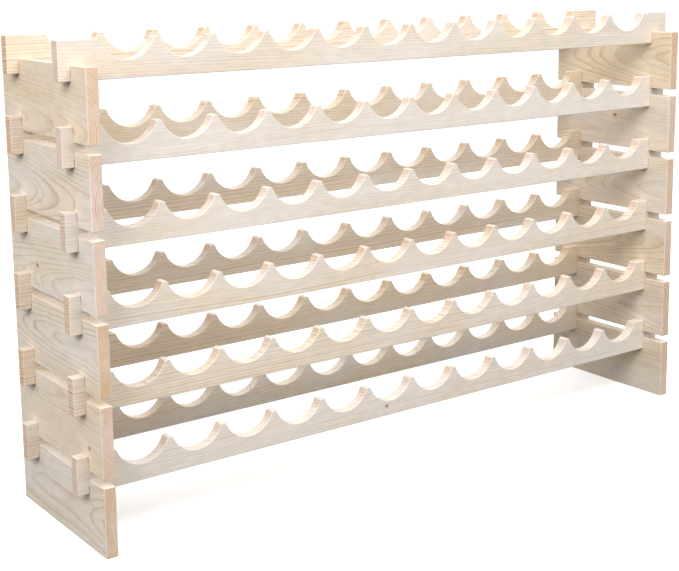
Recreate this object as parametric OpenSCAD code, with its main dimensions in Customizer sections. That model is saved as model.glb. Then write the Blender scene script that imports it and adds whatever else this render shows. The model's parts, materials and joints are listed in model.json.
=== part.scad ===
// Modular stacking wine rack in bare pine: scalloped rails cross-lapped into side boards.
// X runs along the rack, Y from front to back, Z up. The origin is the centre of the
// footprint, on the floor.

/* [Scallops] */
// Distance between two neighbouring bottles
bottle_pitch = 90; // [84:1:100]
// Bottles side by side on one tier
bottles_per_tier = 12; // [2:1:12]
// Radius of the scallop that a bottle lies in
scallop_radius = 43; // [41:0.5:50]
// Depth of the scallop below the rail's top edge
scallop_depth = 30; // [20:1:34]
// Radius of the rounded shoulders of each peak between two scallops
peak_round = 4; // [1:0.5:5]

/* [Rails] */
// Height of a rail
rail_height = 55; // [50:1:70]
// Thickness of a rail
rail_thickness = 18; // [15:1:22]
// Plain length of rail between a side board and the first scallop
rail_end_land = 25; // [15:1:50]
// Length of rail that stands out past a side board
rail_overhang = 18; // [10:1:30]
// Distance of the rails from the front and the back of the side boards
rail_setback = 45; // [30:1:60]

/* [Side boards] */
// Thickness of a side board
board_thickness = 18; // [15:1:22]
// Height of a side board
board_height = 103; // [95:1:120]
// Depth of a side board from front to back
board_depth = 280; // [250:1:340]

/* [Lap joints] */
// Depth of a notch cut in a rail
rail_notch = 10.5; // [6:0.5:12]
// Depth of a notch cut in a side board
board_notch = 11; // [6:0.5:12]
// Play on each side of a board or a rail in its notch
notch_play = 0.3; // [0.2:0.1:0.6]

/* [Hidden] */

TOP_TIER = 6;
LEFT = -1;
RIGHT = 1;
FRONT = -1;
REAR = 1;
$fn = 96;
cut = 1;    // how far a cutter runs past the wood
blend = 0.02;    // how far a shoulder's round reaches into its scallop

// A seated lap sinks a board and a rail into each other by both notches.
lap = rail_notch + board_notch;
tier_pitch = board_height + rail_height - 2 * lap;
rail_bottom = board_height - lap;

// A shoulder's round touches the peak's flat top and the scallop, whose centre is above
// the rail.
scallop_centre = scallop_radius - scallop_depth;
reach = scallop_radius + peak_round - blend;
shoulder_x = sqrt(pow(reach, 2) - pow(scallop_centre + peak_round, 2));
touch_x = shoulder_x * scallop_radius / reach;
shoulder_drop = (scallop_centre + peak_round) * scallop_radius / reach - scallop_centre;

peak_width = bottle_pitch - 2 * sqrt(pow(scallop_radius, 2) - pow(scallop_centre, 2));
scalloped_length = bottles_per_tier * bottle_pitch - peak_width;
inner_width = scalloped_length + 2 * rail_end_land;
board_x = inner_width / 2 + board_thickness / 2;
rail_length = inner_width + 2 * (board_thickness + rail_overhang);
rail_y = board_depth / 2 - rail_setback - rail_thickness / 2;

// Lowest point of a tier's boards and of its rails above the floor
function board_z(tier) = (tier - 1) * tier_pitch;
function rail_z(tier) = board_z(tier) + rail_bottom;

// What is cut away over the round of a peak's shoulder; x is from the scallop's centre.
module shoulder() {
    difference() {
        translate([touch_x - cut, rail_height - shoulder_drop])
            square([shoulder_x - touch_x + cut, shoulder_drop + cut]);
        translate([shoulder_x, rail_height - peak_round]) circle(r = peak_round);
    }
}

// The row of scallops, each with the shoulders of its two peaks rounded
module scallops() {
    for (i = [0 : bottles_per_tier - 1]) {
        translate([(i - (bottles_per_tier - 1) / 2) * bottle_pitch, 0]) {
            translate([0, rail_height + scallop_centre]) circle(r = scallop_radius);
            shoulder();
            mirror([1, 0]) shoulder();
        }
    }
}

// The notches in a rail's lower edge, or in its upper edge
module rail_notches(height) {
    for (side = [LEFT, RIGHT])
        translate([side * board_x, height])
            square([board_thickness + 2 * notch_play, 2 * rail_notch], center = true);
}

// A rail seen from the front; the top tier's rails carry nothing, so only the others
// are notched in the upper edge.
module rail_outline(notched_top) {
    difference() {
        translate([-rail_length / 2, 0]) square([rail_length, rail_height]);
        scallops();
        rail_notches(0);
        if (notched_top) rail_notches(rail_height);
    }
}

module rail(place, tier) {
    translate([0, place * rail_y + rail_thickness / 2, rail_z(tier)])
        rotate([90, 0, 0])
            linear_extrude(rail_thickness) rail_outline(tier < TOP_TIER);
}

// The notches in a board's lower edge, or in its upper edge
module board_notches(height) {
    for (place = [FRONT, REAR])
        translate([place * rail_y, height])
            square([rail_thickness + 2 * notch_play, 2 * board_notch], center = true);
}

// A board seen from the side; the base boards stand on their plain lower edge.
module board_outline(notched_bottom) {
    difference() {
        translate([-board_depth / 2, 0]) square([board_depth, board_height]);
        board_notches(board_height);
        if (notched_bottom) board_notches(0);
    }
}

module board(side, tier) {
    translate([side * board_x - board_thickness / 2, 0, board_z(tier)])
        rotate([90, 0, 90])
            linear_extrude(board_thickness) board_outline(tier > 1);
}

module pine() { color([0.93, 0.85, 0.73]) children(); }
module pale_pine() { color([0.90, 0.84, 0.75]) children(); }

module left_base_board() pale_pine() board(LEFT, 1);
module right_base_board() pale_pine() board(RIGHT, 1);
module left_board(tier) pale_pine() board(LEFT, tier);
module right_board(tier) pale_pine() board(RIGHT, tier);
module front_rail(tier) pine() rail(FRONT, tier);
module rear_rail(tier) pine() rail(REAR, tier);

left_base_board();
right_base_board();
front_rail(1);  // front_rail_tier_1
rear_rail(1);  // rear_rail_tier_1
left_board(2);  // left_board_tier_2
right_board(2);  // right_board_tier_2
front_rail(2);  // front_rail_tier_2
rear_rail(2);  // rear_rail_tier_2
left_board(3);  // left_board_tier_3
right_board(3);  // right_board_tier_3
front_rail(3);  // front_rail_tier_3
rear_rail(3);  // rear_rail_tier_3
left_board(4);  // left_board_tier_4
right_board(4);  // right_board_tier_4
front_rail(4);  // front_rail_tier_4
rear_rail(4);  // rear_rail_tier_4
left_board(5);  // left_board_tier_5
right_board(5);  // right_board_tier_5
front_rail(5);  // front_rail_tier_5
rear_rail(5);  // rear_rail_tier_5
left_board(6);  // left_board_tier_6
right_board(6);  // right_board_tier_6
front_rail(TOP_TIER);  // front_rail_top
rear_rail(TOP_TIER);  // rear_rail_top
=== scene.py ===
"""Looks of the pine wine rack: eased boards and rails, procedural pine, pale studio."""

import json
import math
import random

import bmesh
import bpy
from mathutils import Euler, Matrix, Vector

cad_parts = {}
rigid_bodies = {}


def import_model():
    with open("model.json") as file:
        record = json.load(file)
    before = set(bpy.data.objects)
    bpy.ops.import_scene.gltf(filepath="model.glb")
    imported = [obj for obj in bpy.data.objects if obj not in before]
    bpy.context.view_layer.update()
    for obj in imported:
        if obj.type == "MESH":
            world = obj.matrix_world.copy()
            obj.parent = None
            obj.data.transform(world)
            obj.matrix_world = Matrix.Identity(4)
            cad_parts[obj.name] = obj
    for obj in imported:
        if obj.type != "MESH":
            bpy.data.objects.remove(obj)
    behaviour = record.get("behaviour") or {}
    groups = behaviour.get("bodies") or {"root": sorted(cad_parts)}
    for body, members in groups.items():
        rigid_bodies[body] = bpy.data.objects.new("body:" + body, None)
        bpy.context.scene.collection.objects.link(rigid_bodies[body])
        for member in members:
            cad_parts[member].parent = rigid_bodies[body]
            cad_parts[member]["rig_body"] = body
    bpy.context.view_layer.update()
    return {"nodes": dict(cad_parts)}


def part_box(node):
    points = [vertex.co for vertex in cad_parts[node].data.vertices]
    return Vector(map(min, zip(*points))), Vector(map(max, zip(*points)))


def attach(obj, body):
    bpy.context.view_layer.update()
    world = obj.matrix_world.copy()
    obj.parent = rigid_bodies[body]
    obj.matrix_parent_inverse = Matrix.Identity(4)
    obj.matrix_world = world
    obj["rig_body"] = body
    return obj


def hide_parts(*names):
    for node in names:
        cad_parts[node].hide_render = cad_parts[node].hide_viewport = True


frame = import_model()

# ---------------------------------------------------------------- sizes, in metres
EASE = 0.0011            # radius of the eased edges
EASE_SEGMENTS = 3
MERGE = 1e-6             # points nearer to each other than this are one point
SHARP = math.radians(30)  # edges that turn more than this are eased
FLAT = math.radians(1)    # faces that turn less than this are one face

# ---------------------------------------------------------------- node helpers


class Tree:
    """Adds shader nodes to one node tree, and returns the sockets they give."""

    def __init__(self, tree):
        self.tree = tree

    def node(self, kind, inputs=(), **settings):
        made = self.tree.nodes.new(kind)
        for name, value in settings.items():
            setattr(made, name, value)
        for key, value in dict(inputs).items():
            self.put(made.inputs[key], value)
        return made

    def put(self, socket, value):
        if isinstance(value, bpy.types.NodeSocket):
            self.tree.links.new(value, socket)
        else:
            socket.default_value = value

    def maths(self, operation, *values, clamp=False):
        made = self.node("ShaderNodeMath", enumerate(values), operation=operation)
        made.use_clamp = clamp
        return made.outputs[0]

    def vector(self, x, y, z):
        return self.node("ShaderNodeCombineXYZ", {"X": x, "Y": y, "Z": z}).outputs[0]

    def noise(self, vector, scale=1.0, detail=2.0, roughness=0.5):
        inputs = {"Vector": vector, "Scale": scale, "Detail": detail, "Roughness": roughness}
        return self.node("ShaderNodeTexNoise", inputs).outputs[0]

    def waver(self, vector, detail):
        """Noise that goes both ways from 0."""
        return self.maths("SUBTRACT", self.noise(vector, detail=detail), 0.5)

    def distance(self, x, y):
        squares = self.maths("ADD", self.maths("POWER", x, 2.0), self.maths("POWER", y, 2.0))
        return self.maths("SQRT", squares)

    def add_up(self, start, *parts):
        """The start, with each part times its share added to it."""
        total = start
        for part, share in parts:
            total = self.maths("MULTIPLY_ADD", part, share, total)
        return total

    def smooth(self, value, low, high, to_low=0.0, to_high=1.0):
        """Goes smoothly from to_low to to_high while the value goes from low to high."""
        inputs = {0: value, 1: low, 2: high, 3: to_low, 4: to_high}
        made = self.node("ShaderNodeMapRange", inputs, interpolation_type="SMOOTHSTEP")
        return made.outputs[0]

    def mix(self, share, first, second, blend="MIX"):
        """A mix of two colours. Its node keeps the colour sockets after those of other types."""
        made = self.node("ShaderNodeMix", data_type="RGBA", blend_type=blend)
        for key, value in ((0, share), (6, first), (7, second)):
            self.put(made.inputs[key], value)
        return made.outputs[2]

    def ramp(self, value, stops):
        """A grey ramp through stops of (place, level)."""
        made = self.node("ShaderNodeValToRGB", {0: value})
        elements = made.color_ramp.elements
        while len(elements) < len(stops):
            elements.new(0.5)
        for element, (place, level) in zip(elements, stops):
            element.position = place
            element.color = (level, level, level, 1)
        return made.outputs[0]


# ---------------------------------------------------------------- pine

# the pattern's inputs, and their values where a piece gives none; lengths are in metres.
# A piece without a knot has it 9 m off, where it doesn't show.
GROUP_INPUTS = (
    ("Along", 0.0), ("Across", 0.0), ("Through", 0.0), ("Seed", 0.0),
    ("Pith across", 0.05), ("Pith through", 0.05), ("Lean", 0.0), ("Taper", 0.0),
    ("Ring width", 0.005), ("Contrast", 0.5), ("Warmth", 0.5),
    ("End grain", 0.0), ("End warmth", 0.3), ("Eased", 0.0),
    ("Knot along", 9.0), ("Knot across", 9.0), ("Knot radius", 0.005),
)
# linear colours: the wide pale spring growth and the thin dark autumn lines, on grey
# and on honey-coloured pieces
EARLY_GREY = (0.830, 0.762, 0.692, 1)
EARLY_HONEY = (0.825, 0.700, 0.535, 1)
LATE_GREY = (0.470, 0.360, 0.230, 1)
LATE_HONEY = (0.600, 0.370, 0.190, 1)
END_PINK = (0.95, 0.84, 0.83, 1)
END_TAN = (0.92, 0.76, 0.62, 1)
KNOT_WOOD = (0.40, 0.22, 0.12, 1)
KNOT_BARK = (0.14, 0.07, 0.04, 1)
EDGE_WOOD = (0.86, 0.80, 0.72, 1)

# the noise patterns' scales: features to a metre, along the grain and across it
WANDER = (1.7, 3.0)      # the trunk's slow bends
RIPPLE = (11.0, 26.0)    # waves in the rings
SERRATION = (55.0, 150.0)  # the rings' ragged edges
PATCH = (3.5, 18.0)      # where the rings fade
FIBRE = (14.0, 1100.0)
STREAK = (26.0, 520.0)   # resin
CLOUD = (4.5, 16.0)      # drifts of warmer colour
MOTTLE = (38.0, 105.0)
RUB = (30.0, 60.0)       # wear along the eased edges
FIBRE_ROUGHNESS = 0.65
# how far they and the knot shift the rings, in metres
WANDER_ACROSS = 0.030
WANDER_THROUGH = -0.045
RIPPLE_SHIFT = 0.0022
SERRATION_SHIFT = 0.0009
KNOT_SHIFT = 0.007
# good and bad years: how often they change, by the ring, and how many rings they shift
YEARS_SCALE = 0.45
YEARS_SHIFT = 2.2

# how dark a ring is, from its start (0) to its end (1)
RING = ((0.0, 0.20), (0.06, 0.0), (0.60, 0.06), (0.86, 0.62), (0.94, 1.0), (1.0, 0.20))
END_BOOST = 0.9          # how much stronger the rings are on end grain
CLOUD_WARMTH = 2.6       # how much the clouds change the warmth
LATE_WARMTH = 1.3        # the late wood's warmth is this times the piece's,
LATE_WARMTH_LEAST = 0.05  # and this added
STREAK_SHARE = 0.25      # how far a streak goes towards the late wood's colour

# ranges for smooth(): what goes in, then what comes out, from 0 to 1 where it isn't given
PATCH_RANGE = (0.32, 0.66, 0.20, 1.0)
STREAK_RANGE = (0.66, 0.80)
FIBRE_SHADE = (0.25, 0.75, 0.945, 1.03)
MOTTLE_SHADE = (0.30, 0.70, 0.955, 1.03)
RUB_RANGE = (0.35, 0.7, 0.15, 0.75)
END_RANGE = (0.70, 0.95)  # how squarely a face looks along the grain

KNOT_LENGTH = 0.72       # a knot is longer along the grain by 1 over this
KNOT_PUSH_END = 9.0      # it pushes rings aside as far as 1 over this, in metres
# the knot's parts, for smooth(), by the distance from its middle in knot radii
KNOT_NEAR = (0.5, 4.5, 1.0, 0.0)
KNOT_EYE = (0.85, 1.10, 1.0, 0.0)
RIM_INSIDE = (0.70, 0.98)
RIM_OUTSIDE = (1.0, 1.35, 1.0, 0.0)
KNOT_HALO = (1.0, 3.4, 0.35, 0.0)
KNOT_RINGS = 4.0         # rings to a radius
KNOT_RINGS_WAVE = 2.0    # how far the clouds bend them
KNOT_RING_SHARE = 0.5    # how far they go towards the late wood's colour
RIM_SHARE = 0.6          # how far the rim goes towards the bark's

ROUGH = 0.66             # the roughness of plain early wood


def pine_group():
    """The pattern of a pine board sawn from a log whose pith lies beside the board."""
    group = bpy.data.node_groups.new("pine_pattern", "ShaderNodeTree")
    for name, value in GROUP_INPUTS:
        socket = group.interface.new_socket(name, in_out="INPUT", socket_type="NodeSocketFloat")
        socket.default_value = value
    for name, kind in (("Color", "Color"), ("Roughness", "Float"), ("Height", "Float")):
        group.interface.new_socket(name, in_out="OUTPUT", socket_type="NodeSocket" + kind)
    t = Tree(group)
    given = t.node("NodeGroupInput").outputs
    along, across, through, seed = (given[n] for n in ("Along", "Across", "Through", "Seed"))

    def scaled(by_along, by_across):
        """The place in the board, drawn out along the grain and shifted by the seed."""
        return t.vector(
            t.maths("MULTIPLY_ADD", along, by_along, seed),
            t.maths("MULTIPLY", across, by_across),
            t.maths("MULTIPLY", through, by_across),
        )

    # the knot, and how far it pushes the rings aside
    knot_along = t.maths("SUBTRACT", along, given["Knot along"])
    knot_across = t.maths("SUBTRACT", across, given["Knot across"])
    knot_far = t.maths(
        "DIVIDE",
        t.distance(t.maths("MULTIPLY", knot_along, KNOT_LENGTH), knot_across),
        given["Knot radius"])
    push = t.maths("MULTIPLY", t.maths("ABSOLUTE", knot_along), KNOT_PUSH_END)
    push = t.smooth(push, 0.0, 1.0, 1.0, 0.0)
    knot_near = t.maths("MULTIPLY", t.smooth(knot_far, *KNOT_NEAR), push)

    # distance from the pith, with the slow wander of a real trunk
    wander = t.waver(scaled(*WANDER), detail=1.0)
    ripple = t.waver(scaled(*RIPPLE), detail=2.0)
    serration = t.waver(scaled(*SERRATION), detail=2.0)
    lean = t.maths("MULTIPLY", along, given["Lean"])
    off_across = t.maths("SUBTRACT", t.maths("ADD", across, lean), given["Pith across"])
    off_across = t.maths("MULTIPLY_ADD", wander, WANDER_ACROSS, off_across)
    off_through = t.maths("SUBTRACT", through, given["Pith through"])
    off_through = t.maths("MULTIPLY_ADD", wander, WANDER_THROUGH, off_through)
    far = t.add_up(
        t.distance(off_across, off_through),
        (along, given["Taper"]), (ripple, RIPPLE_SHIFT),
        (serration, SERRATION_SHIFT), (knot_near, KNOT_SHIFT))
    phase = t.maths("DIVIDE", far, given["Ring width"])
    years = t.noise(t.vector(phase, seed, 0.0), scale=YEARS_SCALE, detail=1.0)
    phase = t.maths("MULTIPLY_ADD", years, YEARS_SHIFT, phase)

    # each ring darkens slowly to its late wood and ends sharply
    ring = t.ramp(t.maths("FRACT", phase), RING)
    patch = t.smooth(t.noise(scaled(*PATCH), detail=2.0), *PATCH_RANGE)
    ring = t.maths("MULTIPLY", t.maths("MULTIPLY", ring, patch), given["Contrast"])
    end_boost = t.maths("MULTIPLY_ADD", given["End grain"], END_BOOST, 1.0)
    ring = t.maths("MULTIPLY", ring, end_boost, clamp=True)

    # fibres and resin streaks, long and fine, and clouds of warmer colour
    fibre = t.noise(scaled(*FIBRE), detail=3.0, roughness=FIBRE_ROUGHNESS)
    streak = t.smooth(t.noise(scaled(*STREAK), detail=1.0), *STREAK_RANGE)
    cloud = t.noise(scaled(*CLOUD), detail=3.0)

    warmth = t.maths("SUBTRACT", cloud, 0.5)
    warmth = t.maths("MULTIPLY_ADD", warmth, CLOUD_WARMTH, given["Warmth"], clamp=True)
    colour = t.mix(warmth, EARLY_GREY, EARLY_HONEY)
    late_warmth = t.maths(
        "MULTIPLY_ADD", given["Warmth"], LATE_WARMTH, LATE_WARMTH_LEAST, clamp=True)
    late = t.mix(late_warmth, LATE_GREY, LATE_HONEY)
    colour = t.mix(ring, colour, late)
    colour = t.mix(t.maths("MULTIPLY", streak, STREAK_SHARE), colour, late)
    mottle = t.smooth(t.noise(scaled(*MOTTLE), detail=2.0), *MOTTLE_SHADE)
    shade = t.maths("MULTIPLY", t.smooth(fibre, *FIBRE_SHADE), mottle)
    colour = t.mix(1.0, colour, t.vector(shade, shade, shade), blend="MULTIPLY")
    end_tint = t.mix(given["End warmth"], END_PINK, END_TAN)
    end_colour = t.mix(1.0, colour, end_tint, blend="MULTIPLY")
    colour = t.mix(given["End grain"], colour, end_colour)

    # the knot itself: a brown eye with its own rings inside a dark rim
    eye = t.smooth(knot_far, *KNOT_EYE)
    wave = t.maths("MULTIPLY", cloud, KNOT_RINGS_WAVE)
    knot_ring = t.maths("FRACT", t.maths("MULTIPLY_ADD", knot_far, KNOT_RINGS, wave))
    knot_ring = t.maths("MULTIPLY", knot_ring, KNOT_RING_SHARE)
    knot_colour = t.mix(knot_ring, KNOT_WOOD, LATE_HONEY)
    rim = t.maths(
        "MULTIPLY", t.smooth(knot_far, *RIM_INSIDE), t.smooth(knot_far, *RIM_OUTSIDE))
    colour = t.mix(t.smooth(knot_far, *KNOT_HALO), colour, LATE_HONEY)
    colour = t.mix(eye, colour, knot_colour)
    colour = t.mix(t.maths("MULTIPLY", rim, RIM_SHARE), colour, KNOT_BARK)

    # eased edges are rubbed paler, unevenly along their length
    rubbed = t.smooth(t.noise(scaled(*RUB)), *RUB_RANGE)
    rubbed = t.maths("MULTIPLY", given["Eased"], rubbed)
    colour = t.mix(rubbed, colour, EDGE_WOOD)

    # late wood and knots are smoother than plain wood, and edges and end grain are rougher
    rough = t.add_up(
        ROUGH, (ring, -0.10), (t.maths("SUBTRACT", fibre, 0.5), 0.16),
        (eye, -0.14), (given["Eased"], 0.06), (given["End grain"], 0.12))
    # late wood and fibres stand proud, and streaks and the knot's rim lie deeper
    height = t.add_up(0.0, (fibre, 0.45), (ring, 0.55), (streak, -0.35), (rim, -0.8))

    out = t.node("NodeGroupOutput")
    for name, value in (("Color", colour), ("Roughness", rough), ("Height", height)):
        t.put(out.inputs[name], value)
    return group


BUMP_DEPTH = 0.00022     # what a height of 1 is in metres
BUMP_STRENGTH = 0.55
PINE_IOR = 1.45
PINE_GLOSS = 0.35        # the shader's Specular IOR Level
AXES = "XYZ"


def pine(name, pattern, centre, grain, through, facts):
    """One piece's pine: the shared pattern, laid along its grain axis. Across is up."""
    material = bpy.data.materials.new(name)
    material.use_nodes = True
    t = Tree(material.node_tree)
    t.tree.nodes.clear()
    coordinates = t.node("ShaderNodeTexCoord").outputs
    moved = t.node(
        "ShaderNodeVectorMath", {0: coordinates["Object"], 1: centre}, operation="SUBTRACT")
    place = t.node("ShaderNodeSeparateXYZ", {0: moved.outputs[0]}).outputs
    facing = t.node("ShaderNodeSeparateXYZ", {0: coordinates["Normal"]}).outputs
    end = t.smooth(t.maths("ABSOLUTE", facing[AXES.index(grain)]), *END_RANGE)
    eased = t.node("ShaderNodeAttribute", attribute_name="eased").outputs["Fac"]
    inputs = {
        "Along": place[AXES.index(grain)], "Across": place[AXES.index("Z")],
        "Through": place[AXES.index(through)], "End grain": end, "Eased": eased, **facts}
    made = t.node("ShaderNodeGroup", node_tree=pattern)
    for key, value in inputs.items():
        t.put(made.inputs[key], value)
    bump = t.node("ShaderNodeBump", {
        "Strength": BUMP_STRENGTH, "Distance": BUMP_DEPTH, "Height": made.outputs["Height"]})
    shader = t.node("ShaderNodeBsdfPrincipled", {
        "Base Color": made.outputs["Color"], "Roughness": made.outputs["Roughness"],
        "Normal": bump.outputs[0], "IOR": PINE_IOR, "Specular IOR Level": PINE_GLOSS})
    t.node("ShaderNodeOutputMaterial", {"Surface": shader.outputs[0]})
    return material


# ---------------------------------------------------------------- boards and rails

def eased_mesh(name, node):
    """The CAD node's faces, with every sharp edge eased. The eased faces are marked."""
    work = bmesh.new()
    work.from_mesh(node.data)
    bmesh.ops.remove_doubles(work, verts=work.verts, dist=MERGE)
    bmesh.ops.dissolve_limit(work, angle_limit=FLAT, verts=work.verts, edges=work.edges)
    mark = work.faces.layers.float.new("eased")
    sharp = [e for e in work.edges if e.is_manifold and e.calc_face_angle() > SHARP]
    made = bmesh.ops.bevel(
        work, geom=sharp, offset=EASE, offset_type="OFFSET", segments=EASE_SEGMENTS,
        profile=0.5, affect="EDGES", clamp_overlap=True)
    for face in made["faces"]:
        face[mark] = 1.0
    mesh = bpy.data.meshes.new(name)
    work.to_mesh(mesh)
    work.free()
    mesh.shade_smooth()
    return mesh


def knot_facts(rng, length, height, chance):
    """A pin knot on some pieces, well inside the face."""
    if rng.random() > chance:
        return {}
    return {
        "Knot along": rng.uniform(-0.42, 0.42) * length,
        "Knot across": rng.uniform(-0.28, 0.28) * height,
        "Knot radius": rng.uniform(0.0010, 0.0026)}


def grain_facts(rng, is_rail):
    """How the piece lay in the log. Rails are cut near the quarter, so their lines run
    straight; boards are cut flat, so the cone of each ring arches along their faces."""
    side = rng.choice((-1, 1))
    if is_rail:
        pith_across = side * rng.uniform(0.05, 0.12)
        pith_through = rng.uniform(-0.03, 0.03)
        lean = rng.uniform(-0.012, 0.012)
        taper = rng.uniform(-0.01, 0.01)
    else:
        pith_across = rng.uniform(-0.04, 0.04)
        pith_through = side * rng.uniform(0.05, 0.10)
        lean = rng.uniform(-0.08, 0.08)
        taper = rng.choice((-1, 1)) * rng.uniform(0.02, 0.06)
    return {
        "Pith across": pith_across, "Pith through": pith_through,
        "Lean": lean, "Taper": taper, "Seed": rng.uniform(0, 50),
        "Ring width": rng.uniform(0.0034, 0.0052) if is_rail else rng.uniform(0.0023, 0.0038),
        "Contrast": rng.uniform(0.40, 0.85) if is_rail else rng.uniform(0.50, 0.85),
        "Warmth": rng.uniform(0.40, 0.80) if is_rail else rng.uniform(0.10, 0.60),
        "End warmth": rng.uniform(0.0, 0.8)}


def tone(warmth, end_warmth, **more):
    """From grey (0) to honey (1) on the faces, and from pink (0) to tan (1) on the ends."""
    return {"Warmth": warmth, "End warmth": end_warmth, **more}


# the tones of the pieces that show most; the others take theirs at random
TONES = {
    "left_base_board": tone(0.10, 0.85), "left_board_tier_2": tone(0.60, 0.0),
    "left_board_tier_3": tone(0.25, 1.0), "left_board_tier_4": tone(0.25, 0.6),
    "left_board_tier_5": tone(0.35, 0.15), "left_board_tier_6": tone(0.90, 0.0),
    "right_base_board": tone(0.70, 0.4), "right_board_tier_2": tone(0.55, 0.5),
    "right_board_tier_3": tone(0.90, 0.3), "right_board_tier_4": tone(0.50, 0.6),
    "right_board_tier_5": tone(0.50, 0.2), "right_board_tier_6": tone(1.0, 0.3),
    "front_rail_tier_1": tone(0.0, 0.5, Contrast=0.45),
    "front_rail_tier_2": tone(0.40, 0.0, Contrast=0.75),
    "front_rail_tier_3": tone(0.35, 0.7, Contrast=0.60),
    "front_rail_tier_4": tone(0.05, 0.4, Contrast=0.40),
    "front_rail_tier_5": tone(0.0, 0.2, Contrast=0.40),
    "front_rail_top": tone(0.30, 0.0, Contrast=0.60),
}


RAIL_KNOTS = 0.25        # the chance that a piece has a knot
BOARD_KNOTS = 0.4


def dress(node_name, node, pattern, rng):
    """Puts an eased piece with its own pine in the place of a CAD node."""
    low, high = (Vector(c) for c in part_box(node_name))
    is_rail = "rail" in node_name
    grain, through = ("X", "Y") if is_rail else ("Y", "X")
    length = (high - low)[AXES.index(grain)]
    facts = grain_facts(rng, is_rail)
    chance = RAIL_KNOTS if is_rail else BOARD_KNOTS
    facts.update(knot_facts(rng, length, high.z - low.z, chance))
    facts.update(TONES.get(node_name, {}))
    piece = bpy.data.objects.new("wood_" + node_name, eased_mesh("wood_" + node_name, node))
    bpy.context.scene.collection.objects.link(piece)
    piece.data.materials.clear()
    piece.data.materials.append(
        pine("pine_" + node_name, pattern, (low + high) / 2, grain, through, facts))
    weighted = piece.modifiers.new("even_shading", "WEIGHTED_NORMAL")
    weighted.keep_sharp = True
    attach(piece, node["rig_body"])
    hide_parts(node_name)


SEED = 11
pattern = pine_group()
rng = random.Random(SEED)
for node_name in sorted(frame["nodes"]):
    dress(node_name, frame["nodes"][node_name], pattern, rng)

# ---------------------------------------------------------------- studio

FLOOR_SIZE = 60.0
FLOOR_SEEN = 0.93        # how pale the floor looks
FLOOR_GLOW = 0.28        # added to it for the eye, so that it stays white far away
FLOOR_BOUNCE = 0.07      # how much of the light it sends back up
# the share of DOME_POWER that comes from each height, the horizon (0) to straight up (1)
DOME = ((0.0, 0.02), (0.25, 0.36), (0.55, 1.0), (0.85, 0.25), (1.0, 0.08))
DOME_POWER = 1.82
DOME_LEAN = -0.16        # how its light falls off from the left to the right
WHITE = (1, 1, 1, 1)
LIGHT_COLOUR = (1.0, 0.985, 0.97)
RACK_MIDDLE = (0, 0, 0.35)
LEFT_END = (-0.55, 0, 0.40)
# the soft boxes: name, place, what it faces, size in metres, power in watts. They hang
# close, so that the lower tiers get less light than the top.
SOFT_BOXES = (
    ("key", (0.1, -1.75, 2.05), RACK_MIDDLE, 1.3, 31),
    ("side", (-2.2, -1.1, 1.75), LEFT_END, 1.2, 31),
    ("back", (2.4, 2.3, 2.0), RACK_MIDDLE, 2.0, 46),
)

PICTURE_WIDTH = 679      # the photograph's, in pixels
CAMERA_PLACE = (-1.317, -1.714, 0.809)
CAMERA_TURN = -35.93     # degrees, from looking along +Y; negative is to the right
CAMERA_TILT = -10.04     # degrees, from level; negative is down
CAMERA_ROLL = -0.63      # degrees
SENSOR_WIDTH = 36.0
LENS_TO_WIDTH = 1322 / PICTURE_WIDTH  # the focal length as a share of the picture's width
CAMERA_SHIFT = -90 / PICTURE_WIDTH
CLIP_END = 200


def floor():
    """A pale floor that looks white but sends little light back under the tabs."""
    bpy.ops.mesh.primitive_plane_add(size=FLOOR_SIZE, location=(0, 0, 0))
    made = bpy.context.object
    made.name = "floor"
    material = bpy.data.materials.new("pale_floor")
    material.use_nodes = True
    t = Tree(material.node_tree)
    t.tree.nodes.clear()
    pale = t.node("ShaderNodeBsdfDiffuse", {"Color": (*[FLOOR_SEEN] * 3, 1)})
    glow = t.node("ShaderNodeEmission", {"Strength": FLOOR_GLOW})
    seen = t.node("ShaderNodeAddShader", {0: pale.outputs[0], 1: glow.outputs[0]})
    bounced = t.node("ShaderNodeBsdfDiffuse", {"Color": (*[FLOOR_BOUNCE] * 3, 1)})
    ray = t.node("ShaderNodeLightPath").outputs["Is Camera Ray"]
    both = t.node("ShaderNodeMixShader", {0: ray, 1: bounced.outputs[0], 2: seen.outputs[0]})
    t.node("ShaderNodeOutputMaterial", {"Surface": both.outputs[0]})
    made.data.materials.append(material)


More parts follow.
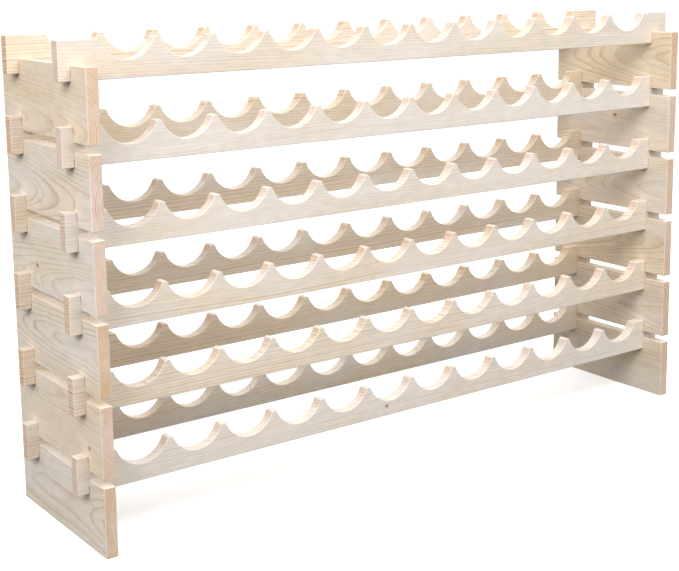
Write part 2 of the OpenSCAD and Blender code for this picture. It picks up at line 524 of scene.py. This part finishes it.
def dome():
    """White all round to the eye. The wood gets a soft band of light, brightest about a
    third of the way up from the horizon."""
    world = bpy.data.worlds.new("studio")
    bpy.context.scene.world = world
    world.use_nodes = True
    t = Tree(world.node_tree)
    t.tree.nodes.clear()
    direction = t.node("ShaderNodeTexCoord").outputs["Generated"]
    toward = t.node("ShaderNodeSeparateXYZ", {0: direction}).outputs
    light = t.maths("MULTIPLY", t.ramp(toward["Z"], DOME), DOME_POWER)
    light = t.maths("MULTIPLY", light, t.maths("MULTIPLY_ADD", toward["X"], DOME_LEAN, 1.0))
    ray = t.node("ShaderNodeLightPath").outputs["Is Camera Ray"]
    lit = t.node("ShaderNodeBackground", {"Color": WHITE, "Strength": light})
    plain = t.node("ShaderNodeBackground", {"Color": WHITE, "Strength": 1.0})
    both = t.node("ShaderNodeMixShader", {0: ray, 1: lit.outputs[0], 2: plain.outputs[0]})
    t.node("ShaderNodeOutputWorld", {"Surface": both.outputs[0]})


def soft_box(name, place, aim, size, power):
    light = bpy.data.lights.new(name, "AREA")
    light.size = size
    light.energy = power
    light.color = LIGHT_COLOUR
    made = bpy.data.objects.new(name, light)
    made.location = place
    made.rotation_euler = (Vector(aim) - Vector(place)).to_track_quat("-Z", "Y").to_euler()
    bpy.context.scene.collection.objects.link(made)


def studio():
    bpy.context.scene.view_settings.view_transform = "Standard"
    dome()
    floor()
    for facts in SOFT_BOXES:
        soft_box(*facts)


def camera():
    """Front left of the rack, a little higher than its top."""
    data = bpy.data.cameras.new("camera")
    data.sensor_width = SENSOR_WIDTH
    data.lens = SENSOR_WIDTH * LENS_TO_WIDTH
    data.shift_y = CAMERA_SHIFT
    data.clip_end = CLIP_END
    made = bpy.data.objects.new("camera", data)
    made.location = CAMERA_PLACE
    turn = Euler((math.radians(90 + CAMERA_TILT), 0, math.radians(CAMERA_TURN)), "XYZ")
    roll = Euler((0, 0, math.radians(CAMERA_ROLL)), "XYZ")
    made.rotation_euler = (turn.to_matrix() @ roll.to_matrix()).to_euler()
    bpy.context.scene.collection.objects.link(made)
    bpy.context.scene.camera = made


studio()
camera()
